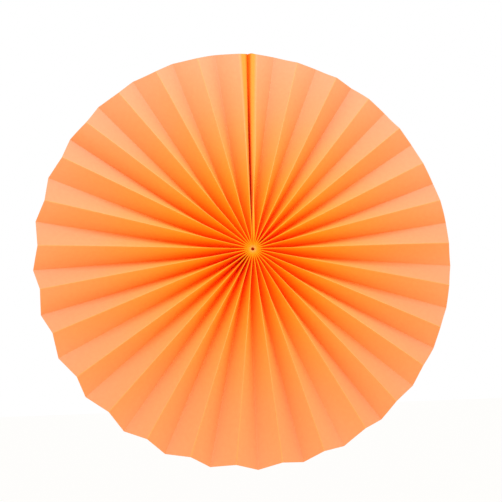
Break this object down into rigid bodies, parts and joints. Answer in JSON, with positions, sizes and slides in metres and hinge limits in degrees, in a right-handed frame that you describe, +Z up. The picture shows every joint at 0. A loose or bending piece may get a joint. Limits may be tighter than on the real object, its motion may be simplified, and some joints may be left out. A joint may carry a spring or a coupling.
{
  "type": "paper fan rosette",
  "caption": "Round paper fan rosette of accordion-folded orange card, opened to a full circle and closed by a seam at the top; made to hang on a wall.",
  "frame": {"origin": "centre of the hub hole, halfway between the front and the back folds", "axes": "the front faces -Y, +Y points to the wall behind it, +Z is up with the seam at the top, +X is to the right as seen from the front"},
  "size_m": [0.399, 0.0263, 0.4],
  "materials": {
    "card": "matte dyed card, uncoated",
    "thread": "twisted cotton thread",
    "tape": "double-sided adhesive tape"
  },
  "bodies": {
    "root": {"pleated_paper": "card", "hub_thread": "thread", "seam_tape": "tape"}
  },
  "joints": []
}
